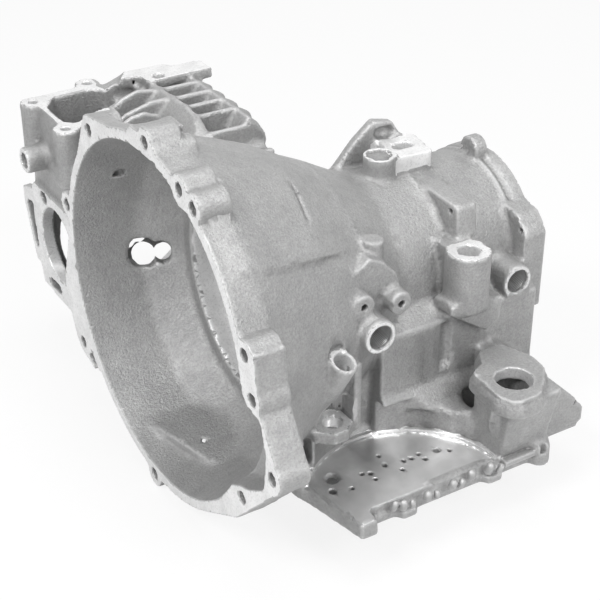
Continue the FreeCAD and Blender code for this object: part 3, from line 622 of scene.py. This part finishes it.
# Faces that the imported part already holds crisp, so they only need the bright finish.
BRIGHT_FACES = [("z", -75.0, 1, (88, -138, -FAR), (136, -90, FAR), None),
                ("x", 1.0, -1, (-FAR, 258, 26), (FAR, 292, 58), None)]
AWAY = 9.0


def from_planes(points):
    """Distance along the axis from the nearest milled face whose window the point lies in."""
    nearest = np.full(len(points), AWAY, np.float32)
    for axis, place, side, low, high, boss in MILLED + BRIGHT_FACES:
        number = "xyz".index(axis)
        others = [i for i in range(3) if i != number]
        inside = on_boss(boss, *(points[:, i] for i in others))
        for i in others:
            inside = inside & (points[:, i] > low[i]) & (points[:, i] < high[i])
        nearest = np.where(inside, np.minimum(nearest, np.abs(points[:, number] - place)), nearest)
    for place, radius in STEPS:
        on_step = np.hypot(points[:, 1], points[:, 2]) < radius + 1
        nearest = np.where(on_step, np.minimum(nearest, np.abs(points[:, 0] - place)), nearest)
    return nearest


def from_bores(points, bores):
    """Distance from the nearest bored wall: from its radius, or past the ends of its bright stretch."""
    nearest = np.full(len(points), AWAY, np.float32)
    for axis, first, second, radius, _, (start, end) in bores:
        number = "xyz".index(axis)
        others = [i for i in range(3) if i != number]
        out = np.abs(np.hypot(points[:, others[0]] - first, points[:, others[1]] - second) - radius)
        along = points[:, number]
        nearest = np.minimum(nearest, np.maximum(out, np.maximum(start - along, along - end)))
    return nearest


def from_angled_port(points):
    """Distance from the angled port's milled rim or its bored wall, whichever is nearer."""
    way = np.array(ANGLED_WAY) / np.linalg.norm(ANGLED_WAY)
    away = points - np.array(ANGLED_FACE)
    along = away @ way
    out = np.sqrt(np.maximum((away ** 2).sum(axis=1) - along ** 2, 0))
    rim = np.where(out < 14, np.abs(along), AWAY)
    wall = np.maximum(np.abs(out - ANGLED_BORE), np.maximum(-26 - along, along))
    return np.minimum(rim, wall)


def from_fly_cut(points):
    """Distance from the fly-cut floor or from the low wall round it."""
    past = np.hypot(points[:, 0] - DISC_X, points[:, 1] - DISC_Y) - DISC_RADIUS
    above = points[:, 2] - DISC_FLOOR
    floor = np.maximum(np.abs(above), past - 0.3)
    wall = np.maximum(np.abs(past - 1.8) - 2.4, np.maximum(-0.5 - above, above - 4.4))
    return np.clip(np.minimum(floor, wall), 0, AWAY)


def from_block(points):
    """Distance from the block on the barrel, whose sides are milled down to z = 84."""
    side = np.maximum(np.abs(points[:, 0] - 268) - 25, np.abs(points[:, 1] - 5) - 23)
    side = np.maximum(side, 84 - points[:, 2])
    return np.maximum(np.where(points[:, 2] < 101, side, AWAY), 0) + 0.1


marks = {
    "machined": np.minimum(np.minimum(from_planes(points), from_bores(points, BORES)),
                           np.minimum(from_angled_port(points), from_block(points))),
    "fly_cut": from_fly_cut(points),
    "threaded": from_bores(points, PORTS),
}
bend = softened(field, 1.1) - field
marks["edge"] = sampled(bend, points)
for name, values in marks.items():
    mesh.attributes.new(name, "FLOAT", "POINT").data.foreach_set("value", values.astype(np.float32))
print("points on machined metal:", int((marks["machined"] < 0.4).sum()))

# %% [markdown]
# The field's slope is the exact direction that the surface faces, smoother than the mesh can tell. A
# corner takes it, except on flat machined faces and at crisp rims, where the direction of the face itself
# is right.

# %% Give each corner the direction that the surface really faces
slope = np.stack(np.gradient(field, CELL), axis=-1).astype(np.float32)
rises = np.stack([sampled(slope[..., axis], points) for axis in range(3)], axis=1)
rises /= np.linalg.norm(rises, axis=1)[:, None] + 1e-9
loop_points = np.empty(len(mesh.loops), np.int32)
mesh.loops.foreach_get("vertex_index", loop_points)
totals = np.empty(len(mesh.polygons), np.int32)
mesh.polygons.foreach_get("loop_total", totals)
facing = np.empty(len(mesh.polygons) * 3, np.float32)
mesh.polygons.foreach_get("normal", facing)
loop_face = np.repeat(np.arange(len(mesh.polygons)), totals)
flat = facing.reshape(-1, 3)[loop_face]
normals = rises[loop_points]
starts = np.concatenate([[0], np.cumsum(totals)[:-1]])
cut = np.minimum(from_planes(points), marks["fly_cut"])[loop_points]
crisp = np.maximum.reduceat(cut, starts)[loop_face] < 0.3
crisp |= np.einsum("ij,ij->i", normals, flat) < 0.8
normals[crisp] = flat[crisp]
mesh.normals_split_custom_set(normals)
print("corners that keep their face's direction:", int(crisp.sum()), "of", len(crisp))

# %% [markdown]
# The skin of a sand or die casting is grey, slightly blotched and finely grained. Two cloudy noises vary
# the grey, a fine one makes the grain, outer edges are rubbed brighter, and the hollows get painted shade.

# %% Make the finishes


class Nodes:
    """A short way to place shader nodes and join them."""

    def __init__(self, name):
        self.material = bpy.data.materials.new(name)
        self.material.use_nodes = True
        self.tree = self.material.node_tree
        self.tree.nodes.clear()
        self.place = self.tree.nodes.new("ShaderNodeTexCoord").outputs["Object"]

    def put(self, kind, inputs=(), **settings):
        """One node with its settings; inputs are (socket, value or other socket) pairs."""
        node = self.tree.nodes.new("ShaderNode" + kind)
        for key, value in settings.items():
            setattr(node, key, value)
        for socket, value in inputs:
            if isinstance(value, bpy.types.NodeSocket):
                self.tree.links.new(value, node.inputs[socket])
            else:
                node.inputs[socket].default_value = value
        return node

    def noise(self, scale, detail=3.0, roughness=0.55):
        return self.put("TexNoise", [("Vector", self.place), ("Scale", scale), ("Detail", detail),
                                     ("Roughness", roughness)]).outputs["Fac"]

    def stretch(self, value, low, high, to_low=0.0, to_high=1.0):
        return self.put("MapRange", [(0, value), (1, low), (2, high), (3, to_low), (4, to_high)]).outputs[0]

    def times(self, first, second):
        return self.put("Math", [(0, first), (1, second)], operation="MULTIPLY").outputs[0]

    def mixed(self, share, first, second):
        return self.put("Mix", [(0, share), (6, first), (7, second)], data_type="RGBA").outputs[2]

    def bump(self, height, strength, distance, under=None):
        inputs = [("Height", height), ("Strength", strength), ("Distance", distance)]
        if under is not None:
            inputs.append(("Normal", under))
        return self.put("Bump", inputs).outputs[0]

    def mark(self, name):
        """A number that the mesh carries at each point."""
        return self.put("Attribute", attribute_name=name).outputs["Fac"]

    def shader(self, colour, rough, normal, metallic):
        return self.put("BsdfPrincipled", [("Base Color", colour), ("Roughness", rough), ("Normal", normal),
                                           ("Metallic", metallic)]).outputs[0]

    def over(self, share, under, top):
        return self.put("MixShader", [(0, share), (1, under), (2, top)]).outputs[0]


def grey(value, warmth=0.0):
    return (value * (1 + warmth), value, value * (1 - warmth), 1.0)


def cast_skin(n):
    """Grey aluminium with clouds, smudges and grain: edges rubbed bright, painted shade in the hollows, a
    rough relief.
    """
    clouds = n.stretch(n.noise(24, 4.0, 0.55), 0.36, 0.66)
    smudges = n.stretch(n.noise(120, 5.0, 0.62), 0.36, 0.68)
    grain = n.stretch(n.noise(480, 3.0, 0.75), 0.34, 0.66)
    colour = n.mixed(clouds, grey(0.37), grey(0.46, 0.003))
    colour = n.mixed(n.times(smudges, 0.25), colour, grey(0.55))
    colour = n.mixed(n.times(grain, 0.55), colour, grey(0.2))
    edge = n.mark("edge")
    colour = n.mixed(n.times(n.stretch(edge, 0.14, 0.5), 0.42), colour, grey(0.68))
    # Hollows are painted darker: painted shade where less light reaches.
    colour = n.mixed(n.times(n.stretch(edge, -0.05, -0.4), 0.6), colour, grey(0.12, 0.01))
    rough = n.stretch(smudges, 0, 1, 0.56, 0.44)
    normal = n.bump(n.noise(420, 3.0, 0.7), 0.85, 0.0010)
    normal = n.bump(n.noise(1500, 2.0, 0.7), 0.6, 0.0003, normal)
    return n.shader(colour, rough, normal, 0.65)


def milled_metal(n):
    """Bright metal with fine lines from the cutter and a few pits that the milling opened."""
    lines = n.put("TexWave", [("Vector", n.place), ("Scale", 420.0), ("Distortion", 1.0), ("Detail", 2.0)],
                  wave_type="RINGS", rings_direction="SPHERICAL").outputs["Fac"]
    smear = n.stretch(n.noise(60, 4.0), 0.35, 0.65)
    pits = n.stretch(n.noise(420, 3.0, 0.75), 0.36, 0.5, 1.0, 0.0)
    colour = n.mixed(smear, grey(0.70), grey(0.82))
    colour = n.mixed(n.times(lines, 0.12), colour, grey(0.5))
    colour = n.mixed(n.times(pits, 0.4), colour, grey(0.4))
    rough = n.stretch(smear, 0, 1, 0.42, 0.34)
    normal = n.bump(lines, 0.10, 0.0001)
    normal = n.bump(n.noise(700, 2.0, 0.6), 0.3, 0.0003, normal)
    return n.shader(colour, rough, normal, 0.4)


# Turned metal shines in a fan round its middle, painted here as highlight and darker bands: the share of
# a turn, counted from -x, and how bright it is.
PAINTED_FAN_HIGHLIGHT = [(0.5, 0.9), (0.56, 0.85), (0.598, 1.1), (0.63, 0.85), (0.66, 0.82), (0.693, 1.1), (0.72, 0.8),
       (0.765, 0.5), (0.8, 0.65), (0.84, 0.8), (0.9, 0.75)]


def fly_cut_metal(n):
    """Fine rings round the cutter's middle, and a painted highlight: the bright and dark fan that turned
    metal shows.
    """
    middle = (-DISC_X * MM, -DISC_Y * MM, 0.0)
    centred = n.put("Mapping", [("Vector", n.place), ("Location", middle)]).outputs[0]
    rings = n.put("TexWave", [("Vector", centred), ("Scale", 420.0), ("Distortion", 0.4), ("Detail", 1.0)],
                  wave_type="RINGS", rings_direction="Z").outputs["Fac"]
    # The turn round the middle sets a painted highlight: brighter and darker greys in a fan.
    turn = n.put("TexGradient", [("Vector", centred)], gradient_type="RADIAL").outputs["Fac"]
    painted_fan = n.put("ValToRGB", [("Fac", turn)])
    for step, value in zip(painted_fan.color_ramp.elements, (0.85, 0.75)):
        step.color = grey(value)
    for place, value in PAINTED_FAN_HIGHLIGHT:
        step = painted_fan.color_ramp.elements.new(place)
        step.color = grey(value)
    outwards = n.put("VectorMath", [(0, centred)], operation="LENGTH").outputs["Value"]
    painted_fan = n.mixed(n.stretch(outwards, 0.129, 0.140), grey(0.85), painted_fan.outputs[0])
    colour = n.mixed(n.stretch(n.noise(70, 3.0), 0.35, 0.65), grey(0.76), grey(0.88))
    colour = n.put("Mix", [(0, 1.0), (6, colour), (7, painted_fan)], data_type="RGBA",
                   blend_type="MULTIPLY").outputs[2]
    return n.shader(colour, n.stretch(rings, 0, 1, 0.24, 0.32), n.bump(rings, 0.2, 0.0001), 0.7)


def threaded_metal(n):
    """Thread lines run round the bore, one every 1.5 mm along y, as bands of painted shade and painted
    highlight.
    """
    turns = n.put("TexWave", [("Vector", n.place), ("Scale", 200.0), ("Distortion", 0.0)],
                  wave_type="BANDS", bands_direction="Y", wave_profile="SIN").outputs["Fac"]
    # The dark bands are painted shade in the thread's roots, the light ones painted highlight on its crests.
    colour = n.mixed(turns, grey(0.34), grey(0.84))
    return n.shader(colour, n.stretch(turns, 0, 1, 0.4, 0.3), n.bump(turns, 0.7, 0.0005), 0.85)


def all_finishes():
    """Cast skin, with the machined finishes over it within a third of a millimetre of their surfaces."""
    n = Nodes("cast_aluminium")
    surface = cast_skin(n)
    finishes = (("machined", milled_metal(n)), ("fly_cut", fly_cut_metal(n)), ("threaded", threaded_metal(n)))
    for mark, top in finishes:
        surface = n.over(n.stretch(n.mark(mark), 0.3, 0.42, 1.0, 0.0), surface, top)
    n.tree.links.new(surface, n.put("OutputMaterial").inputs["Surface"])
    return n.material


mesh.materials.append(all_finishes())
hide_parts(NODE)
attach(housing, "root")
print("nodes in the material:", len(mesh.materials[0].node_tree.nodes))

# %% [markdown]
# The stage is a plain pale floor under a soft key light from the left, a broad one from above, a fill
# from the near right and a bright even sky. The camera stands where the photograph was taken from.

# %% Floor, lights and camera
FLOOR_WHITE = 0.86
UNDER = (0.20, -0.045, 0.0)
SKY = 0.4


def material_of_floor():
    """White paper: the camera sees it partly as its own white, and the rest shows the light and the shadow.
    Right under the casting, near the place UNDER, it has no white of its own, so the through holes in the
    sump floor look into the dark."""
    floor = bpy.data.materials.new("pale_floor")
    floor.use_nodes = True
    tree = floor.node_tree
    tree.nodes.clear()
    paper = tree.nodes.new("ShaderNodeBsdfDiffuse")
    paper.inputs["Color"].default_value = (0.88, 0.88, 0.88, 1)
    white = tree.nodes.new("ShaderNodeEmission")
    white.inputs["Strength"].default_value = 1.0
    seen = tree.nodes.new("ShaderNodeLightPath").outputs["Is Camera Ray"]
    share = tree.nodes.new("ShaderNodeMath")
    share.operation = "MULTIPLY"
    share.inputs[1].default_value = FLOOR_WHITE
    mix = tree.nodes.new("ShaderNodeMixShader")
    output = tree.nodes.new("ShaderNodeOutputMaterial")
    tree.links.new(seen, share.inputs[0])
    place = tree.nodes.new("ShaderNodeTexCoord").outputs["Object"]
    away = tree.nodes.new("ShaderNodeVectorMath")
    away.operation = "DISTANCE"
    away.inputs[1].default_value = UNDER
    tree.links.new(place, away.inputs[0])
    shade = tree.nodes.new("ShaderNodeMapRange")
    shade.inputs[1].default_value = 0.07
    shade.inputs[2].default_value = 0.09
    tree.links.new(away.outputs["Value"], shade.inputs[0])
    open_floor = tree.nodes.new("ShaderNodeMath")
    open_floor.operation = "MULTIPLY"
    tree.links.new(share.outputs[0], open_floor.inputs[0])
    tree.links.new(shade.outputs[0], open_floor.inputs[1])
    tree.links.new(open_floor.outputs[0], mix.inputs[0])
    tree.links.new(paper.outputs[0], mix.inputs[1])
    tree.links.new(white.outputs[0], mix.inputs[2])
    tree.links.new(mix.outputs[0], output.inputs["Surface"])
    return floor


bpy.ops.mesh.primitive_plane_add(size=16, location=(0, 0, cad_box[0][2] - 0.0005))
floor = bpy.context.object
floor.name = "floor"
floor.data.materials.append(material_of_floor())

world = bpy.data.worlds.new("sky")
bpy.context.scene.world = world
world.use_nodes = True
tree = world.node_tree
background = tree.nodes["Background"]
path = tree.nodes.new("ShaderNodeLightPath")


def sky_strength():
    """White where the camera, a reflection or glass looks at it, and softer as a light."""
    seen = path.outputs["Is Camera Ray"]
    for name in ("Is Glossy Ray", "Is Transmission Ray"):
        both = tree.nodes.new("ShaderNodeMath")
        both.operation = "MAXIMUM"
        tree.links.new(seen, both.inputs[0])
        tree.links.new(path.outputs[name], both.inputs[1])
        seen = both.outputs[0]
    mix = tree.nodes.new("ShaderNodeMapRange")
    mix.inputs[3].default_value = SKY
    mix.inputs[4].default_value = 1.0
    tree.links.new(seen, mix.inputs[0])
    tree.links.new(mix.outputs[0], background.inputs["Strength"])


sky_strength()
background.inputs["Color"].default_value = (1, 1, 1, 1)


def lamp(name, place, target, size, power):
    """A square soft light at a place, turned towards a target."""
    data = bpy.data.lights.new(name, "AREA")
    data.energy = power
    data.size = size
    thing = bpy.data.objects.new(name, data)
    bpy.context.scene.collection.objects.link(thing)
    thing.location = place
    way = np.array(target) - np.array(place)
    tilt = math.acos(-way[2] / np.linalg.norm(way))
    thing.rotation_euler = (tilt, 0, math.atan2(way[1], way[0]) - math.pi / 2)


CENTRE = (0.15, 0.05, 0.0)
lamp("key", (-1.3, -0.5, 1.7), CENTRE, 0.7, 29)
lamp("top", (0.3, 0.2, 2.2), CENTRE, 1.2, 17)
lamp("fill", (0.5, -1.7, 1.5), CENTRE, 0.7, 20)

# The camera was solved from the bell's flange in the photograph: its place, and the ways ahead and right.
camera_data = bpy.data.cameras.new("camera")
camera_data.lens = 85.8
camera_data.sensor_width = 36
camera = bpy.data.objects.new("camera", camera_data)
bpy.context.scene.collection.objects.link(camera)
ahead = Vector((0.4479, 0.7309, -0.5150)).normalized()
right = Vector((0.8526, -0.5225, 0)).normalized()
over = right.cross(ahead)
turn = Matrix((right, over, -ahead)).transposed()
camera.matrix_world = Matrix.Translation((-0.4367, -0.9596, 0.6511)) @ turn.to_4x4()
bpy.context.scene.camera = camera
bpy.context.scene.view_settings.view_transform = "Standard"
place = [round(value, 3) for value in camera.matrix_world.translation]
print("lens:", round(camera_data.lens, 1), "mm, camera at", place)
